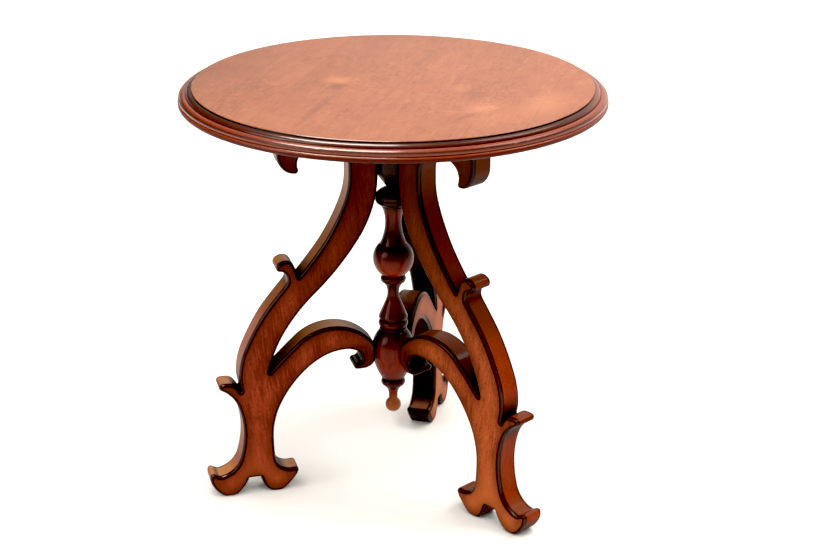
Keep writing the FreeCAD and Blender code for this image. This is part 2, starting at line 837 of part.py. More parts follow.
def leg_blank():
    """The leg board before boring: an ovolo on every edge but the top, a quirk beside the flat face."""
    top = underside.value
    thickness = dim.leg_thickness.value
    core_thickness = thickness - 2 * dim.leg_quirk.value
    face = Part.Face(leg_outline())
    core = face.extrude(Vector(0, core_thickness, 0))
    core.translate(Vector(0, -core_thickness / 2, 0))
    moulded = []
    for edge in core.Edges:
        ends = [vertex.Point for vertex in edge.Vertexes]
        across = abs(ends[0].y - ends[-1].y) > core_thickness / 2
        under_top = all(abs(end.z - top) < 1e-6 for end in ends)
        if not across and not under_top:
            moulded.append(edge)
    core = core.makeFillet(dim.leg_ovolo.value, moulded)
    field = face.makeOffset2D(-dim.leg_ovolo.value - dim.leg_quirk_floor.value)
    field = field.extrude(Vector(0, thickness, 0))
    field.translate(Vector(0, -thickness / 2, 0))
    blank = document.addObject("Part::Feature", "leg_blank")
    blank.Shape = core.fuse(field).Solids[0]
    return blank


# Dowels and screws, in the first leg's own direction
def leg_dowels(name, length, radius, spots):
    """Dowels lying along the leg, half in the leg and half in the column, and their holes."""
    sketch = dowel_profile(f"{name}_profile", dim.leg_dowel_radius, length)
    dowels = []
    holes = []
    for number, level in enumerate(spots, start=1):
        start = radius - length / 2
        dowels.append(turned_copy(f"{name}_{number}", sketch, x=start, z=level, **ALONG_X))
        holes.append(
            cylinder(
                f"{name}_hole_{number}",
                dim.leg_dowel_radius + dim.fit,
                length + 2 * dim.end_gap,
                x=start - dim.end_gap,
                z=level,
                **ALONG_X,
            )
        )
    return dowels, holes


def arm_screws():
    """Screws up through the arm's arch into the top, their bores in the arm and their holes in the top."""
    head_level = underside + dim.screw_bite - dim.screw_length
    neck = dim.screw_head_height
    sketch = loose_profile(
        "arm_screw_profile",
        [
            (ZERO, ZERO),
            (dim.screw_head_radius, ZERO),
            (dim.screw_head_radius, neck),
            (dim.screw_radius, neck),
            (dim.screw_radius, dim.screw_length - dim.screw_radius),
            (ZERO, dim.screw_length),
        ],
    )
    screws = []
    bores = []
    pilots = []
    for number, side in enumerate((-1, 1), start=1):
        reach = arm_arch_reach + dim.screw_offset * side
        screws.append(turned_copy(f"arm_screw_{number}", sketch, x=reach, z=head_level))
        shank = dim.screw_radius + dim.fit
        seat = head_level + dim.screw_head_height
        mouth = underside - dim.arm_depth - dim.arm_arch_radius / 3
        for name, radius, depth in (
            ("screw_counterbore", dim.counterbore_radius, seat - mouth),
            ("screw_bore", shank, underside - mouth),
        ):
            bores.append(cylinder(f"{name}_{number}", radius, depth, x=reach, z=mouth))
        pilots.append(
            cylinder(f"screw_pilot_{number}", shank, dim.screw_bite + dim.end_gap, x=reach, z=underside)
        )
    return screws, bores, pilots


def legs(bores):
    """The three legs, cut from the same blank and turned to their places."""
    blank = leg_blank()
    tool = group("leg_bores", bores)
    pieces = []
    for side, azimuth in LEG_AZIMUTHS.items():
        leg = cut(f"leg_{side}", blank, tool)
        pieces.append(place(leg, axis=Vector(0, 0, 1), angle=azimuth))
    return pieces


def build():
    """Builds every piece and returns those that are handed over."""
    boss_dowel_levels = [underside - dim.upper_dowel_drop, at_level.boss + dim.lower_dowel_rise]
    upper, upper_holes = leg_dowels("upper_dowel", dim.upper_dowel_length, boss_seat, boss_dowel_levels)
    scroll, scroll_holes = leg_dowels("scroll_dowel", dim.scroll_dowel_length, scroll_seat, [at_level.bulb])
    screws, bores, pilots = arm_screws()
    leg_dowel_holes = upper_holes + scroll_holes
    pieces = top_boards(around("screw_pilots", pilots))
    pieces += [column(leg_dowel_holes), drop_finial()]
    pieces += legs(leg_dowel_holes + bores)
    pieces += [around("upper_dowels", upper), around("scroll_dowels", scroll), around("arm_screws", screws)]
    for piece in pieces:
        piece.Label = piece.Name
    return pieces


def check(pieces):
    """Stops if any object failed or any piece is empty or not valid."""
    for item in document.Objects:
        if "Invalid" in item.State or "Error" in item.State:
            raise RuntimeError(f"{item.Name} failed: {item.State}")
    for piece in pieces:
        if piece.Shape.isNull() or not piece.Shape.isValid() or not piece.Shape.Solids:
            raise RuntimeError(f"{piece.Label} has no valid solid")


def write(pieces):
    """Writes one file for each piece."""
    os.makedirs("parts", exist_ok=True)
    for piece in pieces:
        piece.Shape.exportStep(f"parts/{piece.Label}.step")
        print(piece.Label, len(piece.Shape.Solids), round(piece.Shape.Volume))


table_pieces = build()
document.recompute()
check(table_pieces)
write(table_pieces)
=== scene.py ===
"""Looks of the round lamp table: stained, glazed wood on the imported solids, in a white studio."""

import logging
import math
from dataclasses import dataclass, replace
from enum import Enum
from typing import Any, Mapping, Sequence, Union

import bpy
from mathutils import Matrix, Vector

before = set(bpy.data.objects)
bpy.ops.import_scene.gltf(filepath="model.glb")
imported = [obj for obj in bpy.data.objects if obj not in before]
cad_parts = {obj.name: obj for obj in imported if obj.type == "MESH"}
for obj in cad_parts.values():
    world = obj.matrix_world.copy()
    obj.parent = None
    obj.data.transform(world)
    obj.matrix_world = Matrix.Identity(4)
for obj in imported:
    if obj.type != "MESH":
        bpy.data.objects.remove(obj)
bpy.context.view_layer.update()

MILLI = 0.001
log = logging.getLogger("lamp_table")

Number = Union[float, "Signal"]
Triple = tuple[float, float, float]
Colour = Union[Triple, "Signal"]
Span = tuple[float, float]
Stops = Sequence[tuple[float, float]]


def moved(span: Span, by: float) -> Span:
    """A span moved along by a distance."""
    return by + span[0], by + span[1]


# Shader maths
@dataclass(frozen=True)
class NoiseKind:
    """How a noise is layered."""

    detail: float = 2.0
    roughness: float = 0.5
    twist: float = 0.0


class Signal:
    """One output socket of a material's nodes, with arithmetic that adds Math nodes."""

    def __init__(self, graph: "Graph", socket: bpy.types.NodeSocket) -> None:
        """Wraps a socket.

        Args:
            graph: The nodes that the socket belongs to.
            socket: The output socket.
        """
        self.graph = graph
        self.socket = socket

    def __add__(self, other: Number) -> "Signal":
        """Sum of the two."""
        return self.graph.math("ADD", self, other)

    def __radd__(self, other: Number) -> "Signal":
        """Sum with a number on the left."""
        return self.graph.math("ADD", other, self)

    def __sub__(self, other: Number) -> "Signal":
        """Difference of the two."""
        return self.graph.math("SUBTRACT", self, other)

    def __rsub__(self, other: Number) -> "Signal":
        """Difference from a number on the left."""
        return self.graph.math("SUBTRACT", other, self)

    def __mul__(self, other: Number) -> "Signal":
        """Product of the two."""
        return self.graph.math("MULTIPLY", self, other)

    def __truediv__(self, other: Number) -> "Signal":
        """Quotient of the two."""
        return self.graph.math("DIVIDE", self, other)

    def __abs__(self) -> "Signal":
        """Size without sign."""
        return self.graph.math("ABSOLUTE", self)

    def floor(self) -> "Signal":
        """Whole number below."""
        return self.graph.math("FLOOR", self)

    def root(self) -> "Signal":
        """Square root."""
        return self.graph.math("SQRT", self)

    def largest(self, other: Number) -> "Signal":
        """The larger of the two."""
        return self.graph.math("MAXIMUM", self, other)

    def smallest(self, other: Number) -> "Signal":
        """The smaller of the two."""
        return self.graph.math("MINIMUM", self, other)


class Graph:
    """The nodes of one material.

    A Mix node has sockets for every kind of value, so those for colours go by number.
    """

    mix_inputs = (0, 6, 7)
    mix_output = 2
    occlusion_samples = 6
    cavity_span: Span = (0.85, 0.35)
    margin_span: Span = (0.98, 0.6)

    def __init__(self, name: str) -> None:
        """Starts a material with nothing but its shader.

        Args:
            name: The material's name.
        """
        self.material = bpy.data.materials.new(name)
        self.material.use_nodes = True
        self.tree = self.material.node_tree
        self.tree.nodes.clear()
        self.shader = self.tree.nodes.new("ShaderNodeBsdfPrincipled")
        output = self.tree.nodes.new("ShaderNodeOutputMaterial")
        self.tree.links.new(self.shader.outputs["BSDF"], output.inputs["Surface"])

    def feed(self, socket: bpy.types.NodeSocket, value: Any) -> None:
        """Links a signal to a socket, or sets the socket to a plain value.

        Args:
            socket: The input socket.
            value: A signal, a number or a tuple of numbers.
        """
        if isinstance(value, Signal):
            self.tree.links.new(value.socket, socket)
        elif isinstance(value, tuple) and len(value) == 3 and socket.type == "RGBA":
            socket.default_value = (*value, 1.0)
        else:
            socket.default_value = value

    def add(
        self,
        kind: str,
        settings: Mapping[str, Any] | None = None,
        inputs: Mapping[str | int, Any] | None = None,
        output: str | int = 0,
    ) -> Signal:
        """Adds any node.

        Args:
            kind: The node's type.
            settings: The node's own settings, set first; stops are a ramp's (place, value) pairs.
            inputs: Values or signals of the node's sockets, by name or number.
            output: The output to return, by name or number.

        Returns:
            The chosen output.
        """
        node = self.tree.nodes.new(kind)
        for name, value in (settings or {}).items():
            if name == "stops":
                self.set_stops(node.color_ramp, value)
            else:
                setattr(node, name, value)
        for name, value in (inputs or {}).items():
            self.feed(node.inputs[name], value)
        return Signal(self, node.outputs[output])

    @staticmethod
    def set_stops(ramp: bpy.types.ColorRamp, stops: Stops) -> None:
        """Gives a ramp its stops.

        Args:
            ramp: The ramp.
            stops: Pairs of a place from 0 to 1 and a value.
        """
        while len(ramp.elements) < len(stops):
            ramp.elements.new(1.0)
        for element, (place, value) in zip(ramp.elements, stops):
            element.position = place
            element.color = (value, value, value, 1.0)

    def math(self, operation: str, *values: Number) -> Signal:
        """A Math node.

        Args:
            operation: The node's operation.
            values: Its one or two operands.

        Returns:
            The result.
        """
        return self.add("ShaderNodeMath", {"operation": operation}, dict(enumerate(values)))

    def step(self, value: Signal, low: float, high: float) -> Signal:
        """A smooth step from 0 at low to 1 at high, either way round.

        Args:
            value: What is stepped.
            low: Where the step starts.
            high: Where it ends.

        Returns:
            The step.
        """
        ends = {"From Min": min(low, high), "From Max": max(low, high)}
        if low > high:
            ends.update({"To Min": 1.0, "To Max": 0.0})
        settings = {"interpolation_type": "SMOOTHSTEP"}
        return self.add("ShaderNodeMapRange", settings, {"Value": value, **ends})

    def mix(self, share: Number, first: Colour, second: Colour) -> Signal:
        """A mix of two colours.

        Args:
            share: How much of the second.
            first: The first colour.
            second: The second colour.

        Returns:
            The mixed colour.
        """
        values = dict(zip(self.mix_inputs, (share, first, second)))
        return self.add("ShaderNodeMix", {"data_type": "RGBA"}, values, self.mix_output)

    def ramp(self, value: Signal, stops: Stops) -> Signal:
        """A curve through stops.

        Args:
            value: Where to read the curve, from 0 to 1.
            stops: Pairs of a place and a value.

        Returns:
            The curve's value.
        """
        return self.add("ShaderNodeValToRGB", {"stops": stops}, {"Fac": value})

    def noise(self, place: Signal, scale: Triple, kind: NoiseKind = NoiseKind()) -> Signal:
        """Noise from 0 to 1.

        Args:
            place: The place.
            scale: How many cells there are to a metre along X, Y and Z.
            kind: How the noise is layered.

        Returns:
            The noise.
        """
        values = {
            "Vector": self.scaled(place, scale),
            "Scale": 1.0,
            "Detail": kind.detail,
            "Roughness": kind.roughness,
            "Distortion": kind.twist,
        }
        return self.add("ShaderNodeTexNoise", None, values)

    def scaled(self, place: Signal, scale: Triple) -> Signal:
        """A place scaled along X, Y and Z."""
        return self.add("ShaderNodeVectorMath", {"operation": "MULTIPLY"}, {0: place, 1: scale})

    def turned(self, place: Signal, turn: Triple) -> Signal:
        """A place or a direction turned about X, Y and Z, in degrees."""
        angles = tuple(math.radians(angle) for angle in turn)
        return self.add("ShaderNodeMapping", None, {"Vector": place, "Rotation": angles})

    def axes(self, place: Signal) -> tuple[Signal, Signal, Signal]:
        """The three numbers of a place."""
        split = self.add("ShaderNodeSeparateXYZ", None, {0: place})
        return tuple(Signal(self, socket) for socket in split.socket.node.outputs)

    def joined(self, x: Number, y: Number, z: Number) -> Signal:
        """A place from its three numbers."""
        return self.add("ShaderNodeCombineXYZ", None, {0: x, 1: y, 2: z})

    def place(self) -> Signal:
        """Where a point is on the object, in metres."""
        return self.add("ShaderNodeTexCoord", None, None, "Object")

    def occlusion(self, reach: float, inside: bool) -> Signal:
        """How open a point lies among the walls of its own piece.

        Args:
            reach: How far the walls are looked for, in metres.
            inside: Whether they are looked for inside the piece.

        Returns:
            1 in the open, less near walls.
        """
        settings = {"only_local": True, "inside": inside, "samples": self.occlusion_samples}
        return self.add("ShaderNodeAmbientOcclusion", settings, {"Distance": reach}, "AO")

    def cavity(self, reach: float) -> Signal:
        """0 in the open and 1 in a tight recess of the piece."""
        return self.step(self.occlusion(reach, False), *self.cavity_span)

    def margin(self, reach: float) -> Signal:
        """0 in the middle of a board and 1 along its edge."""
        return self.step(self.occlusion(reach, True), *self.margin_span)

    def bump(self, height: Signal, strength: float, depth: float) -> Signal:
        """A bumped normal.

        Args:
            height: The height, from 0 to 1.
            strength: How much of the bump shows.
            depth: The height of 1, in metres.

        Returns:
            The normal.
        """
        values = {"Height": height, "Strength": strength, "Distance": depth}
        return self.add("ShaderNodeBump", None, values)

    def finish(self, **values: Any) -> bpy.types.Material:
        """Feeds the shader's sockets.

        Args:
            values: A value or signal for each socket, named with underscores for spaces.

        Returns:
            The finished material.
        """
        for name, value in values.items():
            title = name.replace("_", " ").title().replace("Ior", "IOR")
            self.feed(self.shader.inputs[title], value)
        return self.material


# Finishes
@dataclass(frozen=True)
class Lacquer:
    """How lacquered wood shines."""

    roughness: float
    fibre_roughness: float
    coat_roughness: float
    bump: float
    bump_depth: float = 0.3 * MILLI
    specular: float = 0.1

    def finish(
        self, graph: Graph, wood: Signal, fibres: Signal, coat: Number, rougher: Number = 0.0
    ) -> bpy.types.Material:
        """Lays the lacquer over the wood.

        Args:
            graph: The material's nodes.
            wood: The wood's colour.
            fibres: The fibres' height.
            coat: How thick the clear coat is.
            rougher: What is added to the roughness.

        Returns:
            The finished material.
        """
        return graph.finish(
            base_color=wood,
            roughness=self.roughness + fibres * self.fibre_roughness + rougher,
            specular_ior_level=self.specular,
            coat_weight=coat,
            coat_roughness=self.coat_roughness,
            normal=graph.bump(fibres, self.bump, self.bump_depth),
        )


RIBBON_NOISE = NoiseKind(detail=3.0, roughness=0.55, twist=0.6)
FIBRE_NOISE = NoiseKind(detail=3.0, roughness=0.6, twist=0.3)
PORE_NOISE = NoiseKind(detail=2.0, roughness=0.6)
CLOUD_NOISE = NoiseKind(detail=3.0, roughness=0.6, twist=1.0)
CURL_NOISE = NoiseKind(detail=2.0, roughness=0.55, twist=1.6)
SOFT_NOISE = NoiseKind(detail=3.0, roughness=0.6)
NOISE_MIDDLE = 0.5
TOP_LACQUER = Lacquer(
    roughness=0.4, fibre_roughness=0.1, specular=0.12, coat_roughness=0.16, bump=0.12
)
LEG_LACQUER = Lacquer(roughness=0.42, fibre_roughness=0.1, coat_roughness=0.12, bump=0.1)
COLUMN_LACQUER = Lacquer(roughness=0.38, fibre_roughness=0.08, coat_roughness=0.15, bump=0.08)
SCREEN_WHITE = 255
CURVE_KNEE = 0.04045
CURVE_SLOPE = 12.92
CURVE_OFFSET = 0.055
CURVE_POWER = 2.4


def tone(red: int, green: int, blue: int) -> Triple:
    """A screen colour as linear light, by the sRGB curve.

    Args:
        red: Red from 0 to 255.
        green: Green from 0 to 255.
        blue: Blue from 0 to 255.

    Returns:
        The linear colour.
    """
    shares = [level / SCREEN_WHITE for level in (red, green, blue)]
    return tuple(
        share / CURVE_SLOPE
        if share <= CURVE_KNEE
        else ((share + CURVE_OFFSET) / (1.0 + CURVE_OFFSET)) ** CURVE_POWER
        for share in shares
    )


@dataclass(frozen=True)
class Grain:
    """The look of straight-grained wood, before any glaze.

    The grain runs along the second axis of the place it is given.
    """

    pale: Triple
    middle: Triple
    dark: Triple
    ribbon: Triple = (34.0, 1.6, 34.0)
    fibre: Triple = (280.0, 18.0, 280.0)
    pore: Triple = (480.0, 100.0, 480.0)
    cloud: Triple = (9.0, 4.0, 9.0)
    shares: Triple = (0.3, 0.35, 0.35)
    pore_strength: float = 0.3
    pore_span: Span = (0.54, 0.68)
    pore_depth: float = 0.6
    spread: float = 0.15
    dark_end: float = 0.51
    pale_start: float = 0.49

    def colour(self, graph: Graph, place: Signal) -> tuple[Signal, Signal]:
        """Stained wood.

        Args:
            graph: The material's nodes.
            place: The place, with the grain along Y.

        Returns:
            The colour, and the fibres' height for a bump.
        """
        ribbon = graph.noise(place, self.ribbon, RIBBON_NOISE)
        fibre = graph.noise(place, self.fibre, FIBRE_NOISE)
        pore = graph.noise(place, self.pore, PORE_NOISE)
        cloud = graph.noise(place, self.cloud, CLOUD_NOISE)
        figure = ribbon * self.shares[0] + fibre * self.shares[1] + cloud * self.shares[2]
        middling = graph.step(figure, self.dark_end - self.spread, self.dark_end)
        paler = graph.step(figure, self.pale_start, self.pale_start + self.spread)
        wood = graph.mix(middling, self.dark, self.middle)
        wood = graph.mix(paler, wood, self.pale)
        pores = graph.step(pore, *self.pore_span)
        wood = graph.mix(pores * self.pore_strength, wood, self.dark)
        return wood, fibre - pores * self.pore_depth


@dataclass(frozen=True)
class FigureOrShadeMark:
    """A patch of figure in the top: a soft streak.

    Its middle, length and width are in metres, its turn in degrees. The strength is above 0 for
    pale figure and below 0 for dark figure, or for a broad patch of painted shade.
    """

    x: float
    y: float
    length: float
    width: float
    turn: float
    strength: float

    def laid(self, graph: Graph, x: Signal, y: Signal) -> Signal:
        """Lays the streak.

        Args:
            graph: The material's nodes.
            x: Across the boards.
            y: Along the boards.

        Returns:
            Its strength at each point.
        """
        cosine = math.cos(math.radians(self.turn))
        sine = math.sin(math.radians(self.turn))
        right, ahead = x - self.x, y - self.y
        across = right * (cosine / self.width) + ahead * (sine / self.width)
        along = ahead * (cosine / self.length) - right * (sine / self.length)
        distance = (across * across + along * along).root()
        return graph.step(distance, 1.0, 0.0) * self.strength


@dataclass(frozen=True)
class TopZones:
    """Where the parts of the top start and end, in metres.

    The level span is counted from the top's face, the belly shade and under spans from the
    underside.
    The painted sheen's way is the direction, across and along the boards, towards which the edge's
    glaze is thinned to paint a sheen on that side of the rim.
    """

    first_seam: float = -233.0 * MILLI
    board_width: float = 82.0 * MILLI
    seam_line: float = 0.35 * MILLI
    moulding: Span = (327.5 * MILLI, 328.0 * MILLI)
    edge_start: float = 322.0 * MILLI
    edge_width: float = 28.0 * MILLI
    outer: Span = (345.5 * MILLI, 346.5 * MILLI)
    underside: float = 681.0 * MILLI
    height: float = 709.5 * MILLI
    level: Span = (-0.6 * MILLI, -0.2 * MILLI)
    belly_shade: Span = (8.8 * MILLI, 5.8 * MILLI)
    under: Span = (0.4 * MILLI, 0.1 * MILLI)
    painted_sheen: Span = (290.0 * MILLI, 340.0 * MILLI)
    painted_sheen_way: Span = (0.965, 0.264)


@dataclass(frozen=True)
class TopShares:
    """How strongly each part of the top takes its tone and its lacquer."""

    board: float = 0.16
    curl: float = 0.2
    curl_patch: float = 1.1
    seam: float = 0.45
    painted_sheen: float = 0.8
    rim: float = 0.75
    belly_shade: float = 0.9
    coat: float = 0.32
    coat_fibre: float = 0.4
    coat_rim: float = 0.14
    coat_glaze: float = 0.06
    coat_belly_shade: float = 0.8
    under_roughness: float = 0.2


@dataclass(frozen=True)
class TopFinish:
    """Orange-brown lacquered boards with dark glaze in the moulded edge, painted shade under its
    bead and a painted sheen on one side of it.

    The edge's stops run outwards over the moulding and the side's stops upwards from the
    underside, each a place from 0 to 1 with its share of glaze.
    """

    grain: Grain
    glaze: Triple
    light: Triple
    deep: Triple
    rim: Triple
    belly_shade: Triple
    under: Triple
    marks: Sequence[FigureOrShadeMark]
    edge_stops: Stops
    side_stops: Stops
    zones: TopZones = TopZones()
    shares: TopShares = TopShares()
    lacquer: Lacquer = TOP_LACQUER
    board_seed: float = 3.0
    board_shift: Span = (0.37, 1.31)
    curl: Triple = (62.0, 120.0, 62.0)
    curl_turn: float = -15.6
    patches: Triple = (8.0, 8.0, 8.0)
    patch_span: Span = (0.42, 0.62)
    wander: Triple = (16.0, 9.0, 16.0)
    wander_width: float = 14.0 * MILLI

    def figure(self, graph: Graph, place: Signal, board: Signal) -> Signal:
        """Pale and dark figure: each board's own tone, curl in patches, and the streaks, some of
        them broad patches of painted shade.

        Args:
            graph: The material's nodes.
            place: The place.
            board: The board's number.

        Returns:
            Its strength, above 0 where it is pale and below 0 where it is dark.
        """
        shares = self.shares
        seed = {"W": board + self.board_seed}
        chance = graph.add("ShaderNodeTexWhiteNoise", {"noise_dimensions": "1D"}, seed, "Value")
        turned = graph.turned(place, (0.0, 0.0, self.curl_turn))
        curl = graph.noise(turned, self.curl, CURL_NOISE)
        patch = graph.step(graph.noise(place, self.patches), *self.patch_span)
        drift = graph.noise(place, self.wander, SOFT_NOISE) - NOISE_MIDDLE
        x, y, _ = graph.axes(place)
        x, y = x + drift * self.wander_width, y + drift * self.wander_width
        figure = (chance - NOISE_MIDDLE) * shares.board
        figure = figure + (curl - NOISE_MIDDLE) * (shares.curl + patch * shares.curl_patch)
        # the streaks: figure, and broad patches of painted shade
        for mark in self.marks:
            figure = figure + mark.laid(graph, x, y)
        return figure

    def glazing(self, graph: Graph, place: Signal) -> tuple[Signal, Signal]:
        """The moulded edge and its glaze, thinned on one side of the rim as a painted sheen.

        Args:
            graph: The material's nodes.
            place: The place.

        Returns:
            How much glaze there is, and where the moulding is.
        """
        zones = self.zones
        x, y, z = graph.axes(place)
        radius = (x * x + y * y).root()
        edge = graph.ramp((radius - zones.edge_start) / zones.edge_width, self.edge_stops)
        side = graph.ramp(
            (z - zones.underside) / (zones.height - zones.underside), self.side_stops
        )
        outer = graph.step(radius, *zones.outer)
        moulded = 1.0 - graph.step(z, *moved(zones.level, zones.height))
        # painted sheen: the glaze thins towards one side of the rim, so that side reads as catching
        # the light
        painted_sheen = graph.step(x * zones.painted_sheen_way[0] + y * zones.painted_sheen_way[1], *zones.painted_sheen)
        glazed = (edge * (1.0 - outer) + side * outer) * moulded
        glazed = glazed * (1.0 - painted_sheen * self.shares.painted_sheen)
        return glazed, moulded * graph.step(radius, *zones.moulding)

    def material(self, name: str) -> bpy.types.Material:
        """Makes the material.

        Args:
            name: The material's name.

        Returns:
            The material.
        """
        graph = Graph(name)
        zones, shares = self.zones, self.shares
        place = graph.place()
        x, _, z = graph.axes(place)
        count = (x - zones.first_seam) / zones.board_width
        board = count.floor()
        shift = graph.joined(board * self.board_shift[0], board * self.board_shift[1], 0.0)
        own = graph.add("ShaderNodeVectorMath", {"operation": "ADD"}, {0: place, 1: shift})
        wood, fibres = self.grain.colour(graph, own)
        figure = self.figure(graph, place, board)
        wood = graph.mix(figure, wood, self.light)
        wood = graph.mix(figure * -1.0, wood, self.deep)
        part = count - board
        to_seam = part.smallest(1.0 - part)
        seam = graph.step(to_seam, zones.seam_line / zones.board_width, 0.0)
        wood = graph.mix(seam * shares.seam, wood, self.glaze)
        glazed, moulded = self.glazing(graph, place)
        wood = graph.mix(moulded * shares.rim, wood, self.rim)
        # painted shade: the lower half of the bead, which faces down, is darkened deep red and its
        # coat thinned
        belly_shade = graph.step(z, *moved(zones.belly_shade, zones.underside))
        wood = graph.mix(belly_shade * shares.belly_shade, wood, self.belly_shade)
        wood = graph.mix(glazed, wood, self.glaze)
        under = graph.step(z, *moved(zones.under, zones.underside))
        wood = graph.mix(under, wood, self.under)
        coat = shares.coat + fibres * shares.coat_fibre + moulded * shares.coat_rim
        coat = coat - glazed * moulded * shares.coat_glaze
        coat = coat * (1.0 - belly_shade * shares.coat_belly_shade)
        return self.lacquer.finish(graph, wood, fibres, coat, under * shares.under_roughness)


@dataclass(frozen=True)
class LegTones:
    """What sets one leg's board apart from the other two: tones set partly as painted light for how
    the light falls on that leg, the strength of its painted shade, its sheen and its gloss.
    """

    grain: Grain
    edge: Triple
    lit_ledge: Triple
    sheen: float
    shade: float
    gloss: float


@dataclass(frozen=True)
class LegZones:
    """Where the parts of a leg start and end.

    Depths are in millimetres from the floor of the quirk, heights and reaches in metres, and
    facings are parts of a unit vector.
    """

    face: Span = (0.7, 0.95)
    edge: Span = (-5.3, -7.5)
    crown_inside: Span = (-3.6, -2.4)
    crown_outside: Span = (-0.2, -1.4)
    upward: Span = (0.4, 0.9)
    outward: Span = (0.2, 0.7)
    inward: Span = (0.1, 0.75)
    downward: Span = (0.1, 0.7)
    blotch: Span = (0.5, 0.78)
    lit_foot: Span = (0.16, 0.02)
    stem_shade_and_toning: Span = (0.22, 0.56)
    column_shade: Span = (0.12, 0.045)
    by_spur: Span = (0.055, 0.01)
    by_ear: Span = (0.045, 0.01)
    scroll: Span = (0.034, 0.024)


@dataclass(frozen=True)
class LegShares:
    """How strongly each part of a leg takes its tone and its lacquer."""

    edge: float = 0.7
    lit_ledge: float = 0.8
    blotch: float = 0.5
    lit_foot: float = 0.76
    column_shade: float = 0.6
    shaded_stem_edge: float = 0.42
    shade_by_spur_and_ear: float = 0.6
    inner: float = 0.95
    margin: float = 0.65
    hollow_glaze_and_shade: float = 0.95
    hollow_face: float = 0.6
    moulding: float = 0.97
    crown: float = 0.1
    coat: float = 0.12
    coat_crown: float = 0.22
    coat_upward: float = 0.3
    smooth: float = 0.12


@dataclass(frozen=True)
class LegParts:
    """Which part of a leg a point is on, each from 0 to 1."""

    face: Signal
    edge: Signal
    moulding: Signal
    crown: Signal
    upward: Signal
    outward: Signal
    inner: Signal


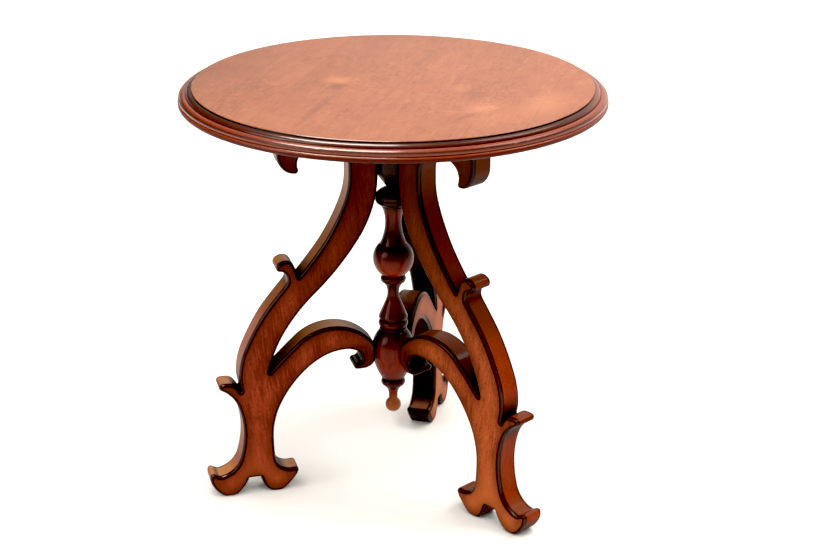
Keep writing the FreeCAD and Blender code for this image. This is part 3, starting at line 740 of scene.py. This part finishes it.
@dataclass(frozen=True)
class LegFinish:
    """Red-brown lacquered board with the moulding along its edges rubbed in dark glaze, with
    painted light on its up-facing edges and foot and painted shade on its stem, inner edges and
    hollows.

    The half thickness and the quirk are in millimetres, other lengths in metres.
    """

    tones: LegTones
    azimuth: float
    glaze: Triple
    stem_shade_and_toning: Triple
    zones: LegZones = LegZones()
    shares: LegShares = LegShares()
    lean: float = -7.0
    blotches: Triple = (13.0, 13.0, 13.0)
    scroll_eye: Span = (0.067, 0.232)
    spur_height: float = 0.37
    ear_height: float = 0.2
    margin_reach: float = 0.026
    hollow_reach: float = 0.042
    half_thickness: float = 22.5
    quirk: float = 1.0

    def parts(self, graph: Graph, across: Signal) -> LegParts:
        """Tells the parts of the leg apart.

        Args:
            graph: The material's nodes.
            across: The place across the board, in metres.

        Returns:
            The parts.
        """
        zones = self.zones
        floor = self.half_thickness - self.quirk
        depth = abs(across) * (1 / MILLI)
        face, edge, crown_inside, crown_outside = (
            graph.step(depth, *moved(span, floor))
            for span in (zones.face, zones.edge, zones.crown_inside, zones.crown_outside)
        )
        normal = graph.add("ShaderNodeNewGeometry", None, None, "Normal")
        out, _, up = graph.axes(graph.turned(normal, (0.0, 0.0, -self.azimuth)))
        upward = graph.step(up, *zones.upward)
        inward = graph.step(out * -1.0, *zones.inward)
        downward = graph.step(up * -1.0, *zones.downward)
        return LegParts(
            face,
            edge,
            moulding=(1.0 - face) * (1.0 - edge),
            crown=crown_inside * crown_outside,
            upward=upward,
            outward=graph.step(out, *zones.outward) * (1.0 - upward),
            inner=inward.largest(downward),
        )

    def stained(self, graph: Graph, wood: Signal, local: Signal, parts: LegParts) -> Signal:
        """Stains the edges, and paints light and shade: paler edges that face up, a paler foot, and
        a darker stem towards the top and by the column.

        Args:
            graph: The material's nodes.
            wood: The plain wood.
            local: The place, with the leg along X.
            parts: The parts of the leg.

        Returns:
            The stained wood.
        """
        zones, shares, tones = self.zones, self.shares, self.tones
        reach, _, height = graph.axes(local)
        # painted light: edges that face up take a paler, tanner tone, as lit from above
        lit_ledge = parts.edge * parts.upward
        wood = graph.mix(parts.edge * shares.edge, wood, tones.edge)
        wood = graph.mix(lit_ledge * shares.lit_ledge, wood, tones.lit_ledge)
        blotch = graph.step(graph.noise(local, self.blotches, SOFT_NOISE), *zones.blotch)
        wood = graph.mix(blotch * shares.blotch, wood, tones.grain.dark)
        # painted light: the face is paler low down by the foot, more so on legs with more painted
        # shade
        lit_foot = graph.step(height, *zones.lit_foot) * parts.face
        wood = graph.mix(lit_foot * (tones.shade * shares.lit_foot), wood, tones.grain.pale)
        # painted shade where the leg reaches in to the column, under the top
        column_shade = graph.step(reach, *zones.column_shade) * shares.column_shade
        # painted shade, partly a darker toning: the stem darkens up towards the top, and its upper
        # edges take the lit-ledge tone
        stem_shade_and_toning = graph.step(height, *zones.stem_shade_and_toning).largest(column_shade)
        wood = graph.mix(stem_shade_and_toning * (1.0 - lit_ledge) * tones.shade, wood, self.stem_shade_and_toning)
        return graph.mix(stem_shade_and_toning * parts.edge * shares.shaded_stem_edge, wood, tones.lit_ledge)

    def glazed(self, graph: Graph, wood: Signal, local: Signal, parts: LegParts) -> Signal:
        """Rubs glaze into the moulding and the hollows, and paints shade beside the spur and the
        ear, on the edges that face in or down, in the hollows and in the scroll's eye.

        Args:
            graph: The material's nodes.
            wood: The stained wood.
            local: The place, with the leg along X.
            parts: The parts of the leg.

        Returns:
            The glazed wood.
        """
        zones, shares = self.zones, self.shares
        reach, _, height = graph.axes(local)
        # painted shade on the outward edges just above and below the spur and the ear
        by_spur = graph.step(abs(height - self.spur_height), *zones.by_spur)
        by_ear = graph.step(abs(height - self.ear_height), *zones.by_ear)
        shade_by_spur_and_ear = by_spur.largest(by_ear) * parts.outward * parts.edge
        wood = graph.mix(shade_by_spur_and_ear * shares.shade_by_spur_and_ear, wood, self.glaze)
        # painted shade on the edges that face in towards the column or down
        wood = graph.mix(parts.inner * (1.0 - parts.face) * shares.inner, wood, self.glaze)
        margin = graph.margin(self.margin_reach) * parts.face
        wood = graph.mix(margin * shares.margin, wood, self.stem_shade_and_toning)
        # painted shade in the scroll's eye, and glaze with painted shade in the leg's own recesses
        aside, above = reach - self.scroll_eye[0], height - self.scroll_eye[1]
        scroll = graph.step((aside * aside + above * above).root(), *zones.scroll)
        hollow_glaze_and_shade = graph.cavity(self.hollow_reach).largest(scroll)
        hollow_glaze_and_shade = hollow_glaze_and_shade * (1.0 - parts.face * shares.hollow_face)
        wood = graph.mix(hollow_glaze_and_shade * shares.hollow_glaze_and_shade, wood, self.glaze)
        rubbed = parts.moulding * (shares.moulding - parts.crown * shares.crown)
        return graph.mix(rubbed, wood, self.glaze)

    def material(self, name: str) -> bpy.types.Material:
        """Makes the material.

        Args:
            name: The material's name.

        Returns:
            The material.
        """
        graph = Graph(name)
        shares = self.shares
        local = graph.turned(graph.place(), (0.0, 0.0, -self.azimuth))
        _, across, _ = graph.axes(local)
        x, y, z = graph.axes(graph.turned(local, (0.0, self.lean, 0.0)))
        wood, fibres = self.tones.grain.colour(graph, graph.joined(x, z, y))
        parts = self.parts(graph, across)
        wood = self.stained(graph, wood, local, parts)
        wood = self.glazed(graph, wood, local, parts)
        bead = parts.moulding * (shares.coat + parts.crown * shares.coat_crown)
        edge = parts.edge * (self.tones.sheen + parts.upward * shares.coat_upward)
        coat = bead + edge * (1.0 - parts.inner)
        lacquer = replace(LEG_LACQUER, specular=self.tones.gloss)
        return lacquer.finish(graph, wood, fibres, coat, parts.moulding * -shares.smooth)


@dataclass(frozen=True)
class TurnedFinish:
    """Dark red-brown turning with near-black glaze in its grooves and on its rings, and painted
    shade over its boss under the top.

    The stops are heights in millimetres with their shares of the glaze tone: glaze, and at the top
    painted shade.
    """

    grain: Grain
    glaze: Triple
    ball: Triple
    stops: Stops
    low: float = 117.5
    high: float = 681.0
    ball_span: Span = (0.158, 0.135)
    ripple: Triple = (30.0, 30.0, 30.0)
    ripple_least: float = 0.75
    ripple_gain: float = 0.5
    most_glaze: float = 0.97
    coat: float = 0.23
    lacquer: Lacquer = COLUMN_LACQUER

    def material(self, name: str) -> bpy.types.Material:
        """Makes the material.

        Args:
            name: The material's name.

        Returns:
            The material.
        """
        graph = Graph(name)
        place = graph.place()
        x, y, z = graph.axes(place)
        wood, fibres = self.grain.colour(graph, graph.joined(x, z, y))
        length = self.high - self.low
        stops = [((height - self.low) / length, share) for height, share in self.stops]
        glazed = graph.ramp((z - self.low * MILLI) / (length * MILLI), stops)
        ripple = self.ripple_least + graph.noise(place, self.ripple) * self.ripple_gain
        wood = graph.mix(graph.step(z, *self.ball_span), wood, self.ball)
        wood = graph.mix((glazed * ripple).smallest(self.most_glaze), wood, self.glaze)
        return self.lacquer.finish(graph, wood, fibres, self.coat)


@dataclass(frozen=True)
class BareWoodFinish:
    """Bare pale wood, for dowels inside the joints."""

    grain: Grain
    roughness: float = 0.6
    fibre_roughness: float = 0.1

    def material(self, name: str) -> bpy.types.Material:
        """Makes the material.

        Args:
            name: The material's name.

        Returns:
            The material.
        """
        graph = Graph(name)
        wood, fibres = self.grain.colour(graph, graph.place())
        roughness = self.roughness + fibres * self.fibre_roughness
        return graph.finish(base_color=wood, roughness=roughness)


@dataclass(frozen=True)
class SteelFinish:
    """Plain screw steel with fine turning marks."""

    bright: Triple
    dull: Triple
    marks: Triple = (90.0, 90.0, 1600.0)
    roughness: float = 0.3
    mark_roughness: float = 0.2

    def material(self, name: str) -> bpy.types.Material:
        """Makes the material.

        Args:
            name: The material's name.

        Returns:
            The material.
        """
        graph = Graph(name)
        marks = graph.noise(graph.place(), self.marks)
        steel = graph.mix(marks, self.bright, self.dull)
        roughness = self.roughness + marks * self.mark_roughness
        return graph.finish(base_color=steel, metallic=1.0, roughness=roughness)


# Sub-assemblies
BOARD_COUNT = 8


class Side(Enum):
    """The legs, with the direction that each one points in."""

    LEFT = 210.0
    RIGHT = 330.0
    BACK = 90.0


def dress(node: str, material: bpy.types.Material) -> None:
    """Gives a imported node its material.

    Args:
        node: The node's name.
        material: The material.
    """
    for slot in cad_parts[node].material_slots:
        slot.material = material
    log.info("%s is dressed in %s", node, material.name)


@dataclass
class RoundTop:
    """The top: eight boards in one finish, so that the moulding runs through."""

    finish: TopFinish
    boards: Sequence[str] = tuple(f"top_board_{number}" for number in range(1, BOARD_COUNT + 1))

    def dress(self) -> None:
        """Gives every board the top's finish."""
        material = self.finish.material("top_wood")
        for board in self.boards:
            dress(board, material)


@dataclass
class ScrollLeg:
    """One leg, whose grain and glaze follow its own direction."""

    side: Side
    finish: LegFinish

    def dress(self) -> None:
        """Gives the leg its finish."""
        side = self.side.name.lower()
        dress(f"leg_{side}", self.finish.material(f"leg_wood_{side}"))


@dataclass
class TurnedColumn:
    """The column and the drop below it."""

    finish: TurnedFinish
    nodes: Sequence[str] = ("column", "drop_finial")

    def dress(self) -> None:
        """Gives the turnings their finish."""
        material = self.finish.material("turned_wood")
        for node in self.nodes:
            dress(node, material)


@dataclass
class Joinery:
    """The dowels and screws inside the joints."""

    wood: BareWoodFinish
    steel: SteelFinish
    dowels: Sequence[str] = ("board_dowels", "upper_dowels", "scroll_dowels")

    def dress(self) -> None:
        """Gives the dowels and screws their finishes."""
        bare = self.wood.material("dowel_wood")
        for node in self.dowels:
            dress(node, bare)
        dress("arm_screws", self.steel.material("screw_steel"))


# Studio
def facing(direction: Vector) -> Matrix:
    """The turn of a lamp whose back points in a direction."""
    return direction.to_track_quat("Z", "Y").to_matrix().to_4x4()


@dataclass(frozen=True)
class SoftLight:
    """A large soft lamp aimed at the table."""

    name: str
    place: Triple
    size: Span
    power: float
    colour: Triple
    aim: Triple = (0.0, 0.0, 0.4)
    gloss_only: bool = False

    def build(self) -> None:
        """Adds the lamp to the scene."""
        data = bpy.data.lights.new(self.name, "AREA")
        data.shape = "RECTANGLE"
        data.size, data.size_y = self.size
        data.energy = self.power
        data.color = self.colour
        lamp = bpy.data.objects.new(self.name, data)
        away = Vector(self.place) - Vector(self.aim)
        lamp.matrix_world = Matrix.Translation(self.place) @ facing(away)
        lamp.visible_diffuse = not self.gloss_only
        bpy.context.scene.collection.objects.link(lamp)
        log.info("light %s", self.name)


@dataclass(frozen=True)
class PhotoCamera:
    """The photograph's camera, worked out from the table's own outline."""

    distance: float = 2.763
    height: float = 1.455
    azimuth: float = 15.3
    pitch: float = 21.41
    yaw: float = 0.73
    roll: float = 0.30
    focal_pixels: float = 1747.0
    width_pixels: float = 828.0
    sensor: float = 36.0

    def build(self) -> None:
        """Adds the camera and makes it the scene's."""
        degrees = (self.pitch, self.yaw, self.roll, self.azimuth)
        pitch, yaw, roll, azimuth = map(math.radians, degrees)
        flat = math.cos(pitch)
        ahead = Vector((math.sin(yaw) * flat, math.cos(yaw) * flat, -math.sin(pitch)))
        right = Vector((math.cos(yaw), -math.sin(yaw), 0.0))
        up = right.cross(ahead)
        level_right = right * math.cos(roll) + up * math.sin(roll)
        level_up = up * math.cos(roll) - right * math.sin(roll)
        axes = Matrix((level_right, level_up, -ahead)).transposed().to_4x4()
        spot = Matrix.Translation((0.0, -self.distance, self.height))
        data = bpy.data.cameras.new("photo_camera")
        data.sensor_width = self.sensor
        data.lens = self.focal_pixels / self.width_pixels * self.sensor
        camera = bpy.data.objects.new("photo_camera", data)
        camera.matrix_world = Matrix.Rotation(azimuth, 4, "Z") @ spot @ axes
        bpy.context.scene.collection.objects.link(camera)
        bpy.context.scene.camera = camera
        log.info("camera %.2f m away", self.distance)


@dataclass(frozen=True)
class CeilingLight:
    """The even light of a wide white ceiling."""

    direction: Triple = (0.05, -0.25, 1.0)
    spread: float = 100.0
    power: float = 4.7
    colour: Triple = (1.0, 0.985, 0.96)

    def build(self) -> None:
        """Adds the light to the scene."""
        data = bpy.data.lights.new("ceiling", "SUN")
        data.angle = math.radians(self.spread)
        data.energy = self.power
        data.color = self.colour
        lamp = bpy.data.objects.new("ceiling", data)
        lamp.matrix_world = facing(Vector(self.direction))
        lamp.visible_glossy = False
        bpy.context.scene.collection.objects.link(lamp)
        log.info("light ceiling")


@dataclass(frozen=True)
class PaperFloor:
    """The pale paper that the table stands on."""

    size: float = 24.0
    drop: float = 0.2 * MILLI
    tone: Triple = (0.92, 0.9, 0.86)
    shade: Triple = (0.88, 0.86, 0.82)
    mottle: Triple = (1.5, 1.5, 1.5)
    mottle_share: float = 0.2
    roughness: float = 0.9
    specular: float = 0.1

    def build(self) -> None:
        """Adds the floor to the scene."""
        bpy.ops.object.select_all(action="DESELECT")
        bpy.ops.mesh.primitive_plane_add(size=self.size, location=(0.0, 0.0, -self.drop))
        floor = bpy.context.active_object
        floor.name = "floor"
        graph = Graph("floor_paper")
        mottle = graph.noise(graph.place(), self.mottle)
        paper = graph.mix(mottle * self.mottle_share, self.tone, self.shade)
        material = graph.finish(
            base_color=paper, roughness=self.roughness, specular_ior_level=self.specular
        )
        floor.data.materials.append(material)
        log.info("floor")


@dataclass(frozen=True)
class Room:
    """The room: bright behind the table, dim behind the camera, white where the camera looks."""

    dim: float = 0.06
    bright: float = 1.05
    bright_way: Triple = (0.2, 0.95, 0.33)
    bright_span: Span = (0.6, 0.96)
    tone: Triple = (1.0, 0.95, 0.88)
    white: Triple = (1.0, 0.995, 0.975)

    def build(self) -> None:
        """Makes the room the scene's world."""
        world = bpy.data.worlds.new("studio_room")
        bpy.context.scene.world = world
        world.use_nodes = True
        nodes = world.node_tree.nodes
        links = world.node_tree.links
        nodes.clear()
        direction = nodes.new("ShaderNodeTexCoord")
        towards = nodes.new("ShaderNodeVectorMath")
        towards.operation = "DOT_PRODUCT"
        towards.inputs[1].default_value = Vector(self.bright_way).normalized()
        spread = nodes.new("ShaderNodeMapRange")
        spread.interpolation_type = "SMOOTHSTEP"
        ends = (*self.bright_span, self.dim, self.bright)
        for name, value in zip(("From Min", "From Max", "To Min", "To Max"), ends):
            spread.inputs[name].default_value = value
        seen = nodes.new("ShaderNodeLightPath")
        room = nodes.new("ShaderNodeBackground")
        room.inputs["Color"].default_value = (*self.tone, 1.0)
        white = nodes.new("ShaderNodeBackground")
        white.inputs["Color"].default_value = (*self.white, 1.0)
        choice = nodes.new("ShaderNodeMixShader")
        output = nodes.new("ShaderNodeOutputWorld")
        links.new(direction.outputs["Generated"], towards.inputs[0])
        links.new(towards.outputs["Value"], spread.inputs["Value"])
        links.new(spread.outputs["Result"], room.inputs["Strength"])
        links.new(seen.outputs["Is Camera Ray"], choice.inputs["Fac"])
        links.new(room.outputs["Background"], choice.inputs[1])
        links.new(white.outputs["Background"], choice.inputs[2])
        links.new(choice.outputs["Shader"], output.inputs["Surface"])
        log.info("room")


@dataclass
class Studio:
    """Paper floor, room, lights and the camera."""

    floor: PaperFloor
    room: Room
    ceiling: CeilingLight
    lights: Sequence[SoftLight]
    camera: PhotoCamera
    black_level: float = 0.0215

    def build(self) -> None:
        """Builds the studio and sets how its light is shown."""
        for thing in (self.floor, self.room, self.ceiling, *self.lights, self.camera):
            thing.build()
        view = bpy.context.scene.view_settings
        view.view_transform = "Standard"
        view.use_curve_mapping = True
        view.curve_mapping.black_level = (self.black_level,) * 3
        view.curve_mapping.update()


# The table
TOP_GRAIN = Grain(
    tone(175, 102, 65),
    tone(155, 85, 51),
    tone(126, 63, 36),
    ribbon=(70.0, 4.0, 70.0),
    fibre=(420.0, 26.0, 420.0),
    pore=(640.0, 130.0, 640.0),
    cloud=(13.0, 8.0, 13.0),
    shares=(0.17, 0.55, 0.28),
    spread=0.21,
    pore_strength=0.85,
)
COLUMN_GRAIN = Grain(
    tone(150, 60, 34),
    tone(124, 41, 24),
    tone(76, 25, 15),
    shares=(0.15, 0.45, 0.4),
    spread=0.24,
)
BARE_GRAIN = Grain(tone(220, 186, 140), tone(206, 168, 120), tone(178, 136, 90))
GLAZE = tone(30, 9, 5)
# the tone of the legs' painted stem shade, partly a darker toning, and of the faces' toned margins
STEM_SHADE_AND_TONING = tone(66, 31, 24)


def leg_grain(pale: Triple, middle: Triple, dark: Triple) -> Grain:
    """The grain of a leg's board in its own tones.

    Args:
        pale: The palest tone.
        middle: The middle tone.
        dark: The darkest tone.

    Returns:
        The grain.
    """
    return Grain(
        pale,
        middle,
        dark,
        ribbon=(26.0, 5.0, 26.0),
        fibre=(300.0, 34.0, 300.0),
        pore=(640.0, 210.0, 640.0),
        pore_strength=0.9,
    )


# One leg's wood in three lit and shaded copies: the tones differ partly as painted light, paler,
# tanner or darker for how the light falls on each leg.
LEG_TONES_AS_LIT = {
    Side.LEFT: LegTones(
        leg_grain(tone(164, 80, 51), tone(140, 61, 41), tone(100, 40, 29)),
        edge=tone(130, 62, 30),
        lit_ledge=tone(184, 126, 82),
        sheen=0.14,
        shade=0.6,
        gloss=0.08,
    ),
    Side.RIGHT: LegTones(
        leg_grain(tone(184, 98, 56), tone(156, 76, 44), tone(104, 45, 29)),
        edge=tone(112, 29, 11),
        lit_ledge=tone(112, 55, 30),
        sheen=0.0,
        shade=0.9,
        gloss=0.07,
    ),
    Side.BACK: LegTones(
        leg_grain(tone(187, 102, 57), tone(164, 84, 48), tone(118, 54, 33)),
        edge=tone(90, 50, 36),
        lit_ledge=tone(114, 80, 64),
        sheen=0.05,
        shade=0.8,
        gloss=0.05,
    ),
}
TOP_FIGURE_AND_SHADE_MARKS = (
    # The first two are broad patches of painted shade over the left and the back of the top; the
    # rest are figure.
    FigureOrShadeMark(-0.340, 0.000, 0.460, 0.260, 0.0, -0.5),
    FigureOrShadeMark(-0.060, 0.350, 0.230, 0.460, 0.0, -0.2),
    FigureOrShadeMark(-0.080, -0.047, 0.034, 0.020, -20.0, -0.6),
    FigureOrShadeMark(-0.090, -0.012, 0.036, 0.042, 30.0, 0.75),
    FigureOrShadeMark(-0.073, -0.190, 0.140, 0.012, 0.0, -0.35),
    FigureOrShadeMark(0.140, -0.030, 0.060, 0.030, 10.0, -0.35),
    FigureOrShadeMark(0.172, -0.112, 0.044, 0.030, -24.0, 0.6),
    FigureOrShadeMark(0.118, -0.005, 0.040, 0.030, 20.0, 0.4),
    FigureOrShadeMark(0.158, -0.168, 0.050, 0.010, -14.0, -0.4),
    FigureOrShadeMark(0.195, -0.140, 0.140, 0.095, -15.0, 0.2),
    FigureOrShadeMark(0.265, -0.060, 0.110, 0.050, 0.0, 0.55),
    FigureOrShadeMark(-0.107, -0.250, 0.100, 0.120, 0.0, 0.2),
    FigureOrShadeMark(0.020, 0.165, 0.150, 0.032, 0.0, -0.2),
)
EDGE_STOPS = (
    (0.186, 0.0),
    (0.193, 1.0),
    (0.28, 1.0),
    (0.36, 0.82),
    (0.44, 0.7),
    (0.49, 0.72),
    (0.53, 0.8),
    (0.57, 0.5),
    (0.62, 0.1),
    (0.74, 0.0),
    (0.83, 0.3),
    (0.87, 0.75),
    (0.921, 0.65),
)
# The lowest stops darken the foot of the moulded side, where the bead turns under, as painted
# shade; the others are glaze in the grooves.
SIDE_STOPS = (
    (0.0, 0.6),
    (0.12, 0.35),
    (0.24, 0.1),
    (0.32, 0.0),
    (0.345, 0.3),
    (0.36, 0.5),
    (0.395, 0.5),
    (0.41, 0.2),
    (0.45, 0.05),
    (0.475, 0.3),
    (0.495, 0.75),
)
COLUMN_STOPS = (
    (117.5, 0.0),
    (150.0, 0.15),
    (163.0, 0.5),
    (169.0, 1.0),
    (175.5, 0.7),
    (183.0, 1.0),
    (192.0, 0.4),
    (215.0, 0.1),
    (236.0, 0.25),
    (256.0, 0.75),
    (274.0, 1.0),
    (286.0, 0.75),
    (296.0, 0.95),
    (301.0, 0.8),
    (322.0, 0.7),
    (346.0, 0.76),
    (362.0, 0.95),
    (368.0, 0.8),
    (375.0, 0.8),
    (386.0, 0.0),
    (401.0, 0.36),
    (413.0, 0.78),
    (425.0, 0.9),
    (440.0, 0.97),
    (452.0, 0.92),
    (464.0, 0.7),
    (478.0, 0.42),
    (490.0, 0.5),
    (500.0, 0.95),
    (515.0, 0.85),
    # From here up, near black: painted shade on the boss, under the top and between the legs.
    (532.0, 1.0),
    (680.0, 1.0),
)
TOP_FINISH = TopFinish(
    TOP_GRAIN,
    GLAZE,
    light=tone(186, 116, 76),
    deep=tone(100, 50, 29),
    rim=tone(122, 40, 17),
    belly_shade=tone(78, 18, 7),
    under=tone(84, 44, 26),
    marks=TOP_FIGURE_AND_SHADE_MARKS,
    edge_stops=EDGE_STOPS,
    side_stops=SIDE_STOPS,
)
COLUMN_FINISH = TurnedFinish(COLUMN_GRAIN, GLAZE, tone(138, 76, 44), COLUMN_STOPS)
STEEL_FINISH = SteelFinish(tone(200, 200, 200), tone(150, 150, 150))
LIGHTS = (
    SoftLight(
        "high_right",
        place=(1.3, 0.4, 2.3),
        size=(1.2, 1.2),
        power=24.0,
        colour=(1.0, 0.97, 0.93),
        aim=(0.2, 0.0, 0.7),
    ),
    SoftLight(
        "right_back",
        place=(2.6, 1.0, 1.0),
        size=(1.4, 1.4),
        power=4.0,
        colour=(1.0, 0.95, 0.88),
    ),
    SoftLight(
        "rim_gloss",
        place=(-0.45, -0.52, 2.4),
        size=(1.1, 1.2),
        power=130.0,
        colour=(1.0, 0.94, 0.86),
        aim=(-0.3, -0.48, 0.7),
        gloss_only=True,
    ),
    SoftLight(
        "left_gloss",
        place=(-1.7, -2.2, 1.7),
        size=(1.4, 1.4),
        power=22.0,
        colour=(1.0, 0.96, 0.9),
        gloss_only=True,
    ),
    SoftLight(
        "left_front",
        place=(-2.4, -1.8, 1.2),
        size=(1.2, 1.4),
        power=20.0,
        colour=(1.0, 0.97, 0.93),
    ),
)


def main() -> None:
    """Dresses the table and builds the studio."""
    logging.basicConfig(level=logging.INFO, format="%(message)s")
    RoundTop(TOP_FINISH).dress()
    for side, tones in LEG_TONES_AS_LIT.items():
        ScrollLeg(side, LegFinish(tones, side.value, GLAZE, STEM_SHADE_AND_TONING)).dress()
    TurnedColumn(COLUMN_FINISH).dress()
    Joinery(BareWoodFinish(BARE_GRAIN), STEEL_FINISH).dress()
    Studio(PaperFloor(), Room(), CeilingLight(), LIGHTS, PhotoCamera()).build()


if __name__ == "__main__":
    main()
